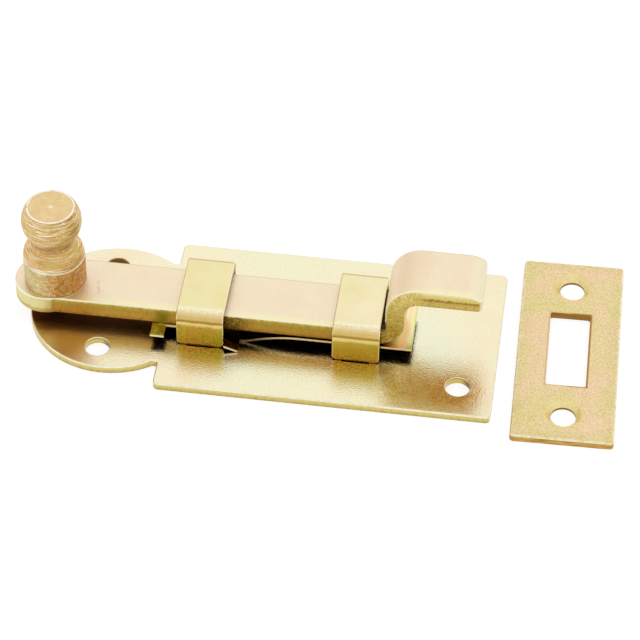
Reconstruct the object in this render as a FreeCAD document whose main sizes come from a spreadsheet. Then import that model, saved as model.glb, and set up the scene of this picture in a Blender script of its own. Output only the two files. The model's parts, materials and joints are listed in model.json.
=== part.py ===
import FreeCAD, Part
import math
import os
import Sketcher

# A cranked window bolt with its loose striker plate, in millimetres.
# +X points from the knob to the nose and the striker, +Y away from the viewer, +Z off the mounting surface.
# The origin is on the base plate's back face, on the bolt's centre line, midway along the plate.

os.makedirs("parts", exist_ok=True)
doc = FreeCAD.newDocument("window_bolt")
sizes = doc.addObject("Spreadsheet::Sheet", "sizes")

SIZES = {
    # Base plate: a rectangular panel with a round lobe at the knob end
    "plate_thickness": 1.6,
    "panel_length": 67.0,
    "plate_width": 40.0,
    "lobe_radius": 17.0,
    "lobe_offset": 11.0,
    "panel_corner_radius": 1.1,
    "lobe_notch_radius": 0.8,
    "plate_edge_round": 0.3,
    "screw_hole_radius": 2.5,
    "hole_rim_round": 0.15,
    "lobe_hole_offset": 1.5,
    "lobe_hole_margin": 5.4,
    "nose_hole_inset": 7.2,
    "nose_hole_margin": 7.5,
    # Guide straps: bent strips that hold the bar down on the plate
    "strap_thickness": 1.6,
    "strap_length": 9.5,
    "strap_bend_radius": 0.2,
    "strap_side_play": 0.9,
    "strap_over_bar": 0.2,
    "strap_edge_round": 0.25,
    "strap_crease_width": 0.25,
    "strap_crease_depth": 0.12,
    "strap_foot_round": 1.0,
    "knob_strap_inset": 7.75,
    "nose_strap_inset": 28.05,
    "tenon_width": 5.6,
    "tenon_clearance": 0.05,
    "tenon_front_gap": 0.35,
    # Bolt bar: flat stock with a crank up to the raised nose
    "bar_width": 12.0,
    "bar_thickness": 4.0,
    "bar_length": 94.3,
    "bar_lift": 2.75,
    "bar_edge_round": 0.4,
    "eye_extra_radius": 0.5,
    "eye_blend_radius": 2.0,
    "crank_gap": 0.7,
    "crank_outer_radius": 6.5,
    "crank_low_radius": 1.0,
    "crank_high_radius": 2.5,
    "nose_rise": 11.9,
    "nose_length": 18.9,
    "nose_crown_reach": 1.9,
    "nose_crown_drop": 1.3,
    "nose_crown_radius": 6.0,
    "nose_corner_radius": 1.0,
    # Pull knob: turned, with a foot, a waist and a flat-topped ball
    "knob_inset": 8.2,
    "knob_foot_radius": 6.2,
    "knob_foot_height": 6.6,
    "knob_foot_chamfer": 0.3,
    "knob_ring_step": 0.1,
    "knob_shoulder_height": 1.7,
    "knob_shoulder_round": 3.0,
    "knob_waist_depth": 2.2,
    "knob_waist_round": 2.3,
    "knob_ball_radius": 6.0,
    "knob_ball_rise": 9.3,
    "knob_flat_height": 3.5,
    "knob_top_round": 0.7,
    "knob_tenon_radius": 2.0,
    "knob_tenon_clearance": 0.02,
    # Leaf spring: a thin strip with ears, bowed down onto the plate
    "spring_thickness": 0.5,
    "spring_extra_width": 0.4,
    "spring_bar_gap": 0.1,
    "spring_seat_gap": 0.02,
    "spring_ear_length": 2.8,
    "spring_ear_overhang": 0.8,
    "spring_ear_play": 2.4,
    "spring_ear_gap": 0.1,
    "spring_overhang": 6.2,
    "spring_belly_offset": 3.36,
    "spring_belly_radius": 3.0,
    "spring_knob_ramp": 19.0,
    "spring_knob_radius": 20.0,
    "spring_nose_ramp": 16.7,
    "spring_nose_radius": 27.0,
    # Striker plate: the loose keeper, as it lies beside the bolt
    "striker_thickness": 1.6,
    "striker_length": 49.0,
    "striker_width": 20.3,
    "striker_corner_radius": 0.8,
    "striker_edge_round": 0.35,
    "striker_gap": 3.55,
    "striker_offset": 0.8,
    "striker_turn": 1.09,
    "striker_slot_length": 20.0,
    "striker_slot_width": 8.0,
    "striker_slot_corner": 0.5,
    "striker_hole_margin": 7.0,
    "striker_sink_depth": 1.05,
}

for row, (name, number) in enumerate(SIZES.items(), start=1):
    sizes.set(f"A{row}", str(number))
    sizes.setAlias(f"A{row}", name)
doc.recompute()

# Places that more than one piece shares, as expressions of the driving sizes
PLATE_END = "((sizes.panel_length + sizes.lobe_offset + sizes.lobe_radius) / 2)"
PANEL_LEFT = f"({PLATE_END} - sizes.panel_length)"
LOBE_CENTRE = f"({PANEL_LEFT} - sizes.lobe_offset)"
KNOB_STRAP = f"({PANEL_LEFT} + sizes.knob_strap_inset)"
NOSE_STRAP = f"({PLATE_END} - sizes.nose_strap_inset)"
LEG_INSIDE = "(sizes.bar_width / 2 + sizes.strap_side_play)"
LEG_OUTSIDE = f"({LEG_INSIDE} + sizes.strap_thickness)"
BAR_BOTTOM = "(sizes.plate_thickness + sizes.bar_lift)"
BAR_TOP = f"({BAR_BOTTOM} + sizes.bar_thickness)"
CRANK_LEFT = f"({NOSE_STRAP} + sizes.strap_length / 2 + sizes.crank_gap)"
CRANK_RIGHT = f"({CRANK_LEFT} + sizes.bar_thickness)"
NOSE_END = f"({CRANK_LEFT} + sizes.nose_length)"
NOSE_TOP = f"({BAR_TOP} + sizes.nose_rise)"
BAR_TIP = f"({NOSE_END} - sizes.bar_length)"
EYE_RADIUS = "(sizes.bar_width / 2 + sizes.eye_extra_radius)"
EYE_CENTRE = f"({BAR_TIP} + {EYE_RADIUS})"
KNOB_AXIS = f"({BAR_TIP} + sizes.knob_inset)"
STRIKER_X = f"({PLATE_END} + sizes.striker_gap + sizes.striker_width / 2)"


def work_out(expression):
    """The number that an expression of the sheet's sizes gives."""
    return float(sizes.evalExpression(expression.replace("sizes.", "")))


def new_body(name):
    """A piece of its own, labelled with the name of its file."""
    body = doc.addObject("PartDesign::Body", name)
    body.Label = name
    return body


def origin_plane(body, role):
    """One of the body's own origin planes."""
    return next(feature for feature in body.Origin.OriginFeatures if feature.Role == role)


def new_sketch(body, name, role, offset="0"):
    """A sketch on one of the body's own origin planes, moved along the plane's normal."""
    sketch = body.newObject("Sketcher::SketchObject", name)
    sketch.AttachmentSupport = [(origin_plane(body, role), "")]
    sketch.MapMode = "FlatFace"
    sketch.setExpression("AttachmentOffset.Base.z", offset)
    return sketch


def hold(sketch, kind, *place, size):
    """One driving constraint, bound to the sheet."""
    index = sketch.addConstraint(Sketcher.Constraint(kind, *place, work_out(size)))
    sketch.setExpression(f"Constraints[{index}]", size)


def draw_outline(sketch, corners, closed=True):
    """Straight edges through corners (across, up, rounding), where the rounding is a radius or None."""
    count = len(corners)
    points = [FreeCAD.Vector(work_out(across), work_out(up), 0) for across, up, rounding in corners]
    ways_in = list(points)
    ways_out = list(points)
    arcs = {}
    for k, (across, up, rounding) in enumerate(corners):
        if rounding is None:
            continue
        radius = work_out(rounding)
        back = (points[k - 1] - points[k]).normalize()
        ahead = (points[(k + 1) % count] - points[k]).normalize()
        half_angle = back.getAngle(ahead) / 2
        centre = points[k] + (back + ahead).normalize() * (radius / math.sin(half_angle))
        ways_in[k] = points[k] + back * (radius / math.tan(half_angle))
        ways_out[k] = points[k] + ahead * (radius / math.tan(half_angle))
        left_turn = back.cross(ahead).z < 0
        ends = (ways_in[k], ways_out[k]) if left_turn else (ways_out[k], ways_in[k])
        angles = [math.atan2(end.y - centre.y, end.x - centre.x) for end in ends]
        if angles[1] < angles[0]:
            angles[1] += 2 * math.pi
        circle = Part.Circle(centre, FreeCAD.Vector(0, 0, 1), radius)
        arcs[k] = (sketch.addGeometry(Part.ArcOfCircle(circle, *angles)), (1, 2) if left_turn else (2, 1))

    lines = {}
    for k in range(count if closed else count - 1):
        lines[k] = sketch.addGeometry(Part.LineSegment(ways_out[k], ways_in[(k + 1) % count]))

    for k, (across, up, rounding) in enumerate(corners):
        line_in = lines.get((k - 1) % count if closed else k - 1)
        line_out = lines.get(k)
        if rounding is None:
            if line_in is not None and line_out is not None:
                sketch.addConstraint(Sketcher.Constraint("Coincident", line_in, 2, line_out, 1))
            corner = (line_out, 1) if line_out is not None else (line_in, 2)
        else:
            arc, (arc_start, arc_end) = arcs[k]
            sketch.addConstraint(Sketcher.Constraint("Tangent", line_in, 2, arc, arc_start))
            sketch.addConstraint(Sketcher.Constraint("Tangent", arc, arc_end, line_out, 1))
            hold(sketch, "Radius", arc, size=rounding)
            corner = (sketch.addGeometry(Part.Point(points[k]), True), 1)
            sketch.addConstraint(Sketcher.Constraint("PointOnObject", *corner, line_in))
            sketch.addConstraint(Sketcher.Constraint("PointOnObject", *corner, line_out))
        hold(sketch, "DistanceX", *corner, size=across)
        hold(sketch, "DistanceY", *corner, size=up)


def draw_rectangle(sketch, left, right, low, high, rounding=None):
    """A rectangle between four expressions."""
    draw_outline(sketch, [(left, low, rounding), (right, low, rounding), (right, high, rounding),
                          (left, high, rounding)])


def draw_circle(sketch, across, up, radius):
    """A circle whose centre and radius are expressions."""
    centre = FreeCAD.Vector(work_out(across), work_out(up), 0)
    circle = sketch.addGeometry(Part.Circle(centre, FreeCAD.Vector(0, 0, 1), work_out(radius)))
    hold(sketch, "DistanceX", circle, 3, size=across)
    hold(sketch, "DistanceY", circle, 3, size=up)
    hold(sketch, "Radius", circle, size=radius)


def pad(body, name, sketch, length, both_ways=False):
    """Material as thick as the expression, above the sketch or half on each side of it."""
    feature = body.newObject("PartDesign::Pad", name)
    feature.Profile = sketch
    feature.Midplane = both_ways
    feature.setExpression("Length", length)
    doc.recompute()
    return feature


def cut_through(body, name, sketch):
    """An opening right through the body, checked to take material away."""
    before = body.Tip.Shape.Volume
    feature = body.newObject("PartDesign::Pocket", name)
    feature.Profile = sketch
    feature.Type = "ThroughAll"
    feature.Midplane = True
    doc.recompute()
    if feature.Shape.Volume >= before:
        raise RuntimeError(f"{name} cuts nothing")
    return feature


def edge_names(shape, wanted):
    """The names of the edges for which the test is true."""
    return [f"Edge{number}" for number, edge in enumerate(shape.Edges, start=1) if wanted(edge)]


def dress(body, name, kind, chosen, property_name, size):
    """A fillet or chamfer of the last feature's chosen edges."""
    base = body.Tip
    feature = body.newObject(f"PartDesign::{kind}", name)
    feature.Base = (base, chosen)
    feature.setExpression(property_name, size)
    doc.recompute()
    return feature


def is_upright(edge):
    box = edge.BoundBox
    return box.ZLength > 0.1 and box.XLength < 0.001 and box.YLength < 0.001


def is_at(edge, **place):
    """True where the edge lies wholly at the given x, y or z; y counts on both sides of the centre line."""
    box = edge.BoundBox
    for axis, value in place.items():
        low = getattr(box, f"{axis.upper()}Min")
        high = getattr(box, f"{axis.upper()}Max")
        if axis == "y" and high < 0:
            low, high = -high, -low
        if abs(low - value) > 0.01 or abs(high - value) > 0.01:
            return False
    return True


def is_sharp(shape, edge):
    """True where the two faces beside the edge turn by more than 30 degrees."""
    middle = edge.valueAt((edge.FirstParameter + edge.LastParameter) / 2)
    normals = []
    for face in shape.ancestorsOfType(edge, Part.Face):
        across, along = face.Surface.parameter(middle)
        normals.append(face.normalAt(across, along))
    return len(normals) == 2 and math.degrees(normals[0].getAngle(normals[1])) > 30


def build_base_plate():
    """Stamped plate: panel and lobe, four screw holes and the slots that the strap tenons stand in."""
    body = new_body("base_plate")
    panel = new_sketch(body, "panel_outline", "XY_Plane")
    draw_rectangle(panel, PANEL_LEFT, PLATE_END, "-sizes.plate_width / 2", "sizes.plate_width / 2",
                   "sizes.panel_corner_radius")
    pad(body, "panel", panel, "sizes.plate_thickness")
    lobe = new_sketch(body, "lobe_outline", "XY_Plane")
    draw_circle(lobe, LOBE_CENTRE, "0", "sizes.lobe_radius")
    pad(body, "lobe", lobe, "sizes.plate_thickness")

    notch_half_width = work_out("sqrt(sizes.lobe_radius ^ 2 - sizes.lobe_offset ^ 2)")
    notches = edge_names(body.Tip.Shape, lambda edge: is_upright(edge)
                         and is_at(edge, x=work_out(PANEL_LEFT), y=notch_half_width))
    dress(body, "lobe_notches", "Fillet", notches, "Radius", "sizes.lobe_notch_radius")

    slots = new_sketch(body, "tenon_slots", "XY_Plane")
    slot_half = "(sizes.tenon_width / 2 + sizes.tenon_clearance)"
    for strap in (KNOB_STRAP, NOSE_STRAP):
        for side in ("-", ""):
            near = f"{side}({LEG_INSIDE} - sizes.tenon_clearance)"
            far = f"{side}({LEG_OUTSIDE} + sizes.tenon_front_gap)"
            low, high = (far, near) if side else (near, far)
            draw_rectangle(slots, f"{strap} - {slot_half}", f"{strap} + {slot_half}", low, high)
    cut_through(body, "slots", slots)

    holes = new_sketch(body, "screw_holes", "XY_Plane")
    lobe_holes = f"({LOBE_CENTRE} - sizes.lobe_hole_offset)"
    lobe_holes_out = "sqrt((sizes.lobe_radius - sizes.lobe_hole_margin) ^ 2 - sizes.lobe_hole_offset ^ 2)"
    nose_holes = f"({PLATE_END} - sizes.nose_hole_inset)"
    nose_holes_out = "(sizes.plate_width / 2 - sizes.nose_hole_margin)"
    for across, out in ((lobe_holes, lobe_holes_out), (nose_holes, nose_holes_out)):
        for side in ("-", ""):
            draw_circle(holes, across, f"{side}{out}", "sizes.screw_hole_radius")
    cut_through(body, "holes", holes)

    top = work_out("sizes.plate_thickness")
    hole_radius = work_out("sizes.screw_hole_radius")
    shape = body.Tip.Shape
    rims = edge_names(shape, lambda edge: is_at(edge, z=top) and is_sharp(shape, edge) and edge.isClosed()
                      and abs(edge.Curve.Radius - hole_radius) < 0.01)
    dress(body, "hole_rims", "Fillet", rims, "Radius", "sizes.hole_rim_round")
    shape = body.Tip.Shape
    top_faces = [face for face in shape.Faces if abs(face.BoundBox.ZMin - top) < 0.01]
    outer_edges = max(top_faces, key=lambda face: face.Area).OuterWire.Edges
    rounded = edge_names(shape, lambda edge: any(edge.isSame(outer) for outer in outer_edges))
    dress(body, "top_edge", "Fillet", rounded, "Radius", "sizes.plate_edge_round")
    return body


def build_strap(name, centre):
    """Guide strap: one strip bent over the bar, with a tenon on each leg that goes through the plate."""
    body = new_body(name)
    section = new_sketch(body, f"{name}_section", "YZ_Plane")
    foot = "sizes.plate_thickness"
    top = f"({BAR_TOP} + sizes.strap_over_bar + sizes.strap_thickness)"
    underside = f"({BAR_TOP} + sizes.strap_over_bar)"
    outer_bend = "(sizes.strap_bend_radius + sizes.strap_thickness)"
    inner_bend = "sizes.strap_bend_radius"
    draw_outline(section, [(f"-{LEG_OUTSIDE}", foot, None), (f"-{LEG_INSIDE}", foot, None),
                           (f"-{LEG_INSIDE}", underside, inner_bend), (LEG_INSIDE, underside, inner_bend),
                           (LEG_INSIDE, foot, None), (LEG_OUTSIDE, foot, None),
                           (LEG_OUTSIDE, top, outer_bend), (f"-{LEG_OUTSIDE}", top, outer_bend)])
    pad(body, f"{name}_strip", section, "sizes.strap_length", both_ways=True)

    half_length = work_out("sizes.strap_length / 2")
    foot_corners = edge_names(body.Tip.Shape, lambda edge: is_at(edge, z=work_out(foot))
                              and abs(abs(edge.CenterOfMass.x) - half_length) < 0.01)
    dress(body, f"{name}_feet", "Fillet", foot_corners, "Radius", "sizes.strap_foot_round")
    outside = work_out(LEG_OUTSIDE)
    high = work_out(top)
    rounded = edge_names(body.Tip.Shape, lambda edge: abs(abs(edge.CenterOfMass.x) - half_length) < 0.01
                         and (is_at(edge, y=outside) or is_at(edge, z=high)))
    dress(body, f"{name}_edges", "Fillet", rounded, "Radius", "sizes.strap_edge_round")

    # The bending tool pressed a shallow line across each leg, just under the bend
    creases = new_sketch(body, f"{name}_crease_outline", "YZ_Plane")
    bend_end = f"({top} - {outer_bend})"
    for side in ("-", ""):
        deep = f"{side}({LEG_OUTSIDE} - sizes.strap_crease_depth)"
        clear = f"{side}({LEG_OUTSIDE} + sizes.strap_thickness)"
        near, far = (clear, deep) if side else (deep, clear)
        draw_rectangle(creases, near, far, f"{bend_end} - sizes.strap_crease_width * 5 / 4",
                       f"{bend_end} - sizes.strap_crease_width / 4")
    cut_through(body, f"{name}_creases", creases)

    tenons = new_sketch(body, f"{name}_tenon_outline", "XY_Plane")
    for side in ("-", ""):
        low, high = (f"-{LEG_OUTSIDE}", f"-{LEG_INSIDE}") if side else (LEG_INSIDE, LEG_OUTSIDE)
        draw_rectangle(tenons, "-sizes.tenon_width / 2", "sizes.tenon_width / 2", low, high)
    pad(body, f"{name}_tenons", tenons, foot)
    body.setExpression("Placement.Base.x", centre)
    return body


def build_leaf_spring():
    """Strip under the bar: bowed down onto the plate, with ears on each side of the knob-end strap."""
    body = new_body("leaf_spring")
    strap_half = "sizes.strap_length / 2"
    notch_left = f"(-{strap_half} - sizes.spring_ear_play)"
    notch_right = f"({strap_half} + sizes.spring_ear_gap)"
    left_end = f"({notch_left} - sizes.spring_ear_length)"
    ear_end = f"({notch_right} + sizes.spring_ear_length)"
    right_end = f"({NOSE_STRAP} - {KNOB_STRAP} + {strap_half} + sizes.spring_overhang)"
    reach = f"({LEG_OUTSIDE} + sizes.spring_ear_overhang)"
    half_width = "(sizes.bar_width / 2 + sizes.spring_extra_width / 2)"

    # The middle of the strip's thickness: level under the bar, then down to the belly and up again
    level = f"({BAR_BOTTOM} - sizes.spring_bar_gap - sizes.spring_thickness / 2)"
    half_sum = "((sizes.spring_knob_ramp + sizes.spring_nose_ramp) / 2)"
    half_difference = "((sizes.spring_knob_ramp - sizes.spring_nose_ramp) / 2)"
    belly_lift = f"sizes.spring_belly_radius * (cos({half_difference}) / cos({half_sum}) - 1)"
    belly = f"(sizes.plate_thickness + sizes.spring_seat_gap + sizes.spring_thickness / 2 - {belly_lift})"
    belly_x = f"({strap_half} + sizes.spring_belly_offset)"
    knob_bend_x = f"({belly_x} - ({level} - {belly}) / tan(sizes.spring_knob_ramp))"
    nose_bend_x = f"({belly_x} + ({level} - {belly}) / tan(sizes.spring_nose_ramp))"

    path = new_sketch(body, "spring_path", "XZ_Plane")
    draw_outline(path, [(left_end, level, None), (knob_bend_x, level, "sizes.spring_knob_radius"),
                        (belly_x, belly, "sizes.spring_belly_radius"),
                        (nose_bend_x, level, "sizes.spring_nose_radius"), (right_end, level, None)],
                 closed=False)
    section = new_sketch(body, "spring_section", "YZ_Plane", left_end)
    draw_rectangle(section, f"-{reach}", reach, f"{level} - sizes.spring_thickness / 2",
                   f"{level} + sizes.spring_thickness / 2")
    strip = body.newObject("PartDesign::AdditivePipe", "spring_strip")
    strip.Profile = section
    strip.Spine = (path, [])
    doc.recompute()

    waste = new_sketch(body, "spring_waste", "XY_Plane")
    beyond = f"({reach} + sizes.spring_ear_length)"
    past_end = f"({right_end} + sizes.spring_ear_length)"
    for side in ("-", ""):
        low, high = (f"-{beyond}", f"-{half_width}") if side else (half_width, beyond)
        draw_rectangle(waste, notch_left, notch_right, low, high)
        draw_rectangle(waste, ear_end, past_end, low, high)
    cut_through(body, "spring_notches", waste)
    body.setExpression("Placement.Base.x", KNOB_STRAP)
    return body


def build_bolt_bar():
    """Flat bar: an eye round the knob's tenon, a crank up past the nose-end strap, and the crowned nose."""
    body = new_body("bolt_bar")
    side_view = new_sketch(body, "bar_side_view", "XZ_Plane")
    nose_bottom = f"({NOSE_TOP} - sizes.bar_thickness)"
    draw_outline(side_view, [(EYE_CENTRE, BAR_BOTTOM, None),
                             (CRANK_RIGHT, BAR_BOTTOM, "sizes.crank_outer_radius"),
                             (CRANK_RIGHT, nose_bottom, "sizes.crank_high_radius"),
                             (NOSE_END, nose_bottom, None),
                             (NOSE_END, f"{NOSE_TOP} - sizes.nose_crown_drop", None),
                             (f"{NOSE_END} - sizes.nose_crown_reach", NOSE_TOP, "sizes.nose_crown_radius"),
                             (CRANK_LEFT, NOSE_TOP, "sizes.crank_outer_radius"),
                             (CRANK_LEFT, BAR_TOP, "sizes.crank_low_radius"), (EYE_CENTRE, BAR_TOP, None)])
    pad(body, "bar", side_view, "sizes.bar_width", both_ways=True)
    eye = new_sketch(body, "eye_outline", "XY_Plane", BAR_BOTTOM)
    draw_circle(eye, EYE_CENTRE, "0", EYE_RADIUS)
    pad(body, "eye", eye, "sizes.bar_thickness")

    half_width = work_out("sizes.bar_width / 2")
    blend_x = work_out(f"{EYE_CENTRE} + sqrt({EYE_RADIUS} ^ 2 - (sizes.bar_width / 2) ^ 2)")
    creases = edge_names(body.Tip.Shape, lambda edge: is_upright(edge)
                         and is_at(edge, x=blend_x, y=half_width))
    dress(body, "eye_blend", "Fillet", creases, "Radius", "sizes.eye_blend_radius")
    nose_end = work_out(NOSE_END)
    corners = edge_names(body.Tip.Shape, lambda edge: is_upright(edge)
                         and is_at(edge, x=nose_end, y=half_width))
    dress(body, "nose_corners", "Fillet", corners, "Radius", "sizes.nose_corner_radius")
    shape = body.Tip.Shape
    rounded = edge_names(shape, lambda edge: is_sharp(shape, edge))
    dress(body, "bar_edges", "Fillet", rounded, "Radius", "sizes.bar_edge_round")

    tenon_hole = new_sketch(body, "tenon_hole_outline", "XY_Plane")
    draw_circle(tenon_hole, KNOB_AXIS, "0", "sizes.knob_tenon_radius + sizes.knob_tenon_clearance")
    cut_through(body, "tenon_hole", tenon_hole)
    return body


def build_pull_knob():
    """Turned knob, riveted to the bar by its tenon: a foot, a waist and a ball cut flat on top."""
    body = new_body("pull_knob")
    profile = new_sketch(body, "knob_profile", "XZ_Plane")
    shoulder = "(sizes.knob_foot_radius - sizes.knob_ring_step)"
    shoulder_top = "(sizes.knob_foot_height + sizes.knob_shoulder_height)"
    waist = f"({shoulder} - sizes.knob_waist_depth)"
    waist_top = f"({shoulder_top} + sizes.knob_waist_depth)"
    ball_centre = "(sizes.knob_foot_height + sizes.knob_ball_rise)"
    draw_outline(profile, [("0", "-sizes.bar_thickness", None),
                           ("sizes.knob_tenon_radius", "-sizes.bar_thickness", None),
                           ("sizes.knob_tenon_radius", "0", None),
                           ("sizes.knob_foot_radius - sizes.knob_foot_chamfer", "0", None),
                           ("sizes.knob_foot_radius", "sizes.knob_foot_chamfer", None),
                           ("sizes.knob_foot_radius", "sizes.knob_foot_height", None),
                           (shoulder, "sizes.knob_foot_height + sizes.knob_ring_step", None),
                           (shoulder, shoulder_top, "sizes.knob_shoulder_round"),
                           (waist, waist_top, "sizes.knob_waist_round"),
                           (waist, ball_centre, None), ("0", ball_centre, None)])
    turned = body.newObject("PartDesign::Revolution", "knob_foot_and_waist")
    turned.Profile = profile
    turned.ReferenceAxis = (profile, ["V_Axis"])
    turned.Angle = 360
    doc.recompute()

    ball = body.newObject("PartDesign::AdditiveSphere", "knob_ball")
    ball.AttachmentSupport = [(origin_plane(body, "XY_Plane"), "")]
    ball.MapMode = "FlatFace"
    ball.setExpression("AttachmentOffset.Base.z", ball_centre)
    ball.setExpression("Radius", "sizes.knob_ball_radius")
    ball.setExpression("Angle2", "asin(sizes.knob_flat_height / sizes.knob_ball_radius)")
    doc.recompute()
    flat_height = work_out(f"{ball_centre} + sizes.knob_flat_height")
    rim = edge_names(body.Tip.Shape, lambda edge: is_at(edge, z=flat_height))
    dress(body, "knob_top_rim", "Fillet", rim, "Radius", "sizes.knob_top_round")
    body.setExpression("Placement.Base.x", KNOB_AXIS)
    body.setExpression("Placement.Base.z", BAR_TOP)
    return body


def build_striker_plate():
    """Loose keeper: a slot for the nose between two countersunk screw holes, lying a little askew."""
    body = new_body("striker_plate")
    outline = new_sketch(body, "striker_outline", "XY_Plane")
    draw_rectangle(outline, "-sizes.striker_width / 2", "sizes.striker_width / 2",
                   "-sizes.striker_length / 2", "sizes.striker_length / 2",
                   "sizes.striker_corner_radius")
    pad(body, "striker_blank", outline, "sizes.striker_thickness")
    slot = new_sketch(body, "striker_slot_outline", "XY_Plane")
    draw_rectangle(slot, "-sizes.striker_slot_width / 2", "sizes.striker_slot_width / 2",
                   "-sizes.striker_slot_length / 2", "sizes.striker_slot_length / 2",
                   "sizes.striker_slot_corner")
    cut_through(body, "striker_slot", slot)
    holes = new_sketch(body, "striker_screw_holes", "XY_Plane")
    hole_out = "(sizes.striker_length / 2 - sizes.striker_hole_margin)"
    for side in ("-", ""):
        draw_circle(holes, "0", f"{side}{hole_out}", "sizes.screw_hole_radius")
    cut_through(body, "striker_holes", holes)

    top = work_out("sizes.striker_thickness")
    rims = edge_names(body.Tip.Shape, lambda edge: is_at(edge, z=top) and edge.isClosed())
    dress(body, "striker_sinks", "Chamfer", rims, "Size", "sizes.striker_sink_depth")
    half_width = work_out("sizes.striker_width / 2")
    rounded = edge_names(body.Tip.Shape, lambda edge: is_at(edge, z=top)
                         and abs(abs(edge.CenterOfMass.x) - half_width) < 0.01)
    dress(body, "striker_top_edge", "Fillet", rounded, "Radius", "sizes.striker_edge_round")
    body.Placement.Rotation = FreeCAD.Rotation(FreeCAD.Vector(0, 0, 1), work_out("sizes.striker_turn"))
    body.setExpression("Placement.Rotation.Angle", "sizes.striker_turn")
    body.setExpression("Placement.Base.x", STRIKER_X)
    body.setExpression("Placement.Base.y", "sizes.striker_offset")
    return body


pieces = [
    build_base_plate(),
    build_strap("knob_end_strap", KNOB_STRAP),
    build_strap("nose_end_strap", NOSE_STRAP),
    build_leaf_spring(),
    build_bolt_bar(),
    build_pull_knob(),
    build_striker_plate(),
]
doc.recompute()

for item in doc.Objects:
    if "Invalid" in item.State or "Error" in item.State:
        raise RuntimeError(f"{item.Label} failed: {item.State}")
for piece in pieces:
    if piece.Shape.isNull() or not piece.Shape.isValid() or len(piece.Shape.Solids) != 1:
        raise RuntimeError(f"{piece.Label} isn't one valid solid")
for piece in pieces:
    piece.Shape.exportStep(f"parts/{piece.Label}.step")
    box = piece.Shape.optimalBoundingBox()
    print(f"{piece.Label}: x {box.XMin:.2f} to {box.XMax:.2f}, y {box.YMin:.2f} to {box.YMax:.2f},"
          f" z {box.ZMin:.2f} to {box.ZMax:.2f}, {piece.Shape.Volume:.1f} mm3")
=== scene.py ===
import json
from math import radians

import bpy
from mathutils import Matrix, Vector


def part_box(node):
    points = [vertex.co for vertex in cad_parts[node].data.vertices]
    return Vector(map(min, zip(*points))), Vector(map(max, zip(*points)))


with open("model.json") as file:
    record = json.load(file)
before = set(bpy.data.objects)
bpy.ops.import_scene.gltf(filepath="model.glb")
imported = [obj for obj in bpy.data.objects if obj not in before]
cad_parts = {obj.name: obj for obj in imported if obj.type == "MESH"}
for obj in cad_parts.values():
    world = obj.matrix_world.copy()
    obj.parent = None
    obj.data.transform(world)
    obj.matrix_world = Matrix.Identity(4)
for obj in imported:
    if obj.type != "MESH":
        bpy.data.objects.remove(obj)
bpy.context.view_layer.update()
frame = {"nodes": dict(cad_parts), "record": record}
nodes = frame["nodes"]
scene = bpy.context.scene

# Camera
# A long lens in front of the bolt and about 46 degrees above it, turned a little to the left.
# Its place and lens were worked out from the straight edges and round holes.
camera_right = Vector((0.9913153, 0.1312192, 0.0086861))
camera_up = Vector((-0.0997678, 0.7073912, 0.6997457))
camera_ahead = Vector((-0.0856757, 0.6945353, -0.7143392))
camera_place = Vector((0.0616077, -0.4080374, 0.4233229))
camera_data = bpy.data.cameras.new("camera")
camera_data.sensor_width = 36.0
camera_data.lens = 164.84
camera_data.clip_start = 0.01
camera_data.clip_end = 50.0
camera = bpy.data.objects.new("camera", camera_data)
camera.matrix_world = Matrix.Translation(camera_place) @ Matrix(
    (camera_right, camera_up, -camera_ahead)).transposed().to_4x4()
scene.collection.objects.link(camera)
scene.camera = camera


# Base plate
# Stamped from 1.6 mm sheet steel, zinc plated and yellow passivated: bright and smooth, with soft
# clouds of pink and green in the cream, a pale rubbed edge that also carries a painted highlight, and
# deeper gold on the cut sides, partly as painted shade. Painted shade darkens the top in front of the
# bar and the spring and inside the screw holes, and a painted reflection of the crank lies near the nose.
mounts = {mount["name"]: mount for mount in frame["record"]["mounts"]}


def box_of(node):
    """A piece's lowest and highest corners, in millimetres as all places in the patterns are."""
    return [[1000 * part for part in corner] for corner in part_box(node)]


sheet_top = box_of("base_plate")[1][2]


def screw_hole(mount, side, turn=0.0):
    """Where the front (-1) or rear (1) screw hole of a mount opens in the sheet's top face."""
    across = Vector((0, side * mounts[mount]["dims"]["pcd_mm"] / 2, 0))
    hole = Vector(mounts[mount]["pos_m"]) * 1000 + Matrix.Rotation(turn, 3, "Z") @ across
    return (hole.x, hole.y, sheet_top)


def screen_colour(red, green, blue):
    """A colour as linear light, from its values on a screen."""
    shares = [value / 255 for value in (red, green, blue)]
    return tuple(share / 12.92 if share <= 0.04045 else ((share + 0.055) / 1.055) ** 2.4
                 for share in shares) + (1.0,)


def add_node(tree, kind, inputs=None, **settings):
    """A shader node with its settings, and inputs that are numbers, colours or other nodes' outputs."""
    node = tree.nodes.new(kind)
    for name, value in settings.items():
        setattr(node, name, value)
    for name, value in (inputs or {}).items():
        if isinstance(value, bpy.types.NodeSocket):
            tree.links.new(value, node.inputs[name])
        else:
            node.inputs[name].default_value = value
    return node


def millimetres(tree, stretch=(1, 1, 1), turn=(0, 0, 0)):
    """Places on the piece in millimetres, stretched and turned as a pattern needs."""
    place = add_node(tree, "ShaderNodeTexCoord").outputs["Object"]
    scale = [1000 * share for share in stretch]
    return add_node(tree, "ShaderNodeMapping", {"Vector": place, "Scale": scale, "Rotation": turn}).outputs[0]


def parts_of(tree, vector):
    """The three parts of a place or direction."""
    return add_node(tree, "ShaderNodeSeparateXYZ", {0: vector}).outputs


def facing(tree, axis):
    """How far the surface faces along an axis, from -1 to 1."""
    return parts_of(tree, add_node(tree, "ShaderNodeTexCoord").outputs["Normal"])[axis]


def work_out(tree, operation, first, second=0.0):
    """One step of arithmetic on two values."""
    return add_node(tree, "ShaderNodeMath", {0: first, 1: second}, operation=operation).outputs[0]


def absolute(tree, value):
    """A value without its sign."""
    return work_out(tree, "ABSOLUTE", value)


def product(tree, total, *others):
    """Several values multiplied together."""
    for other in others:
        total = work_out(tree, "MULTIPLY", total, other)
    return total


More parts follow.
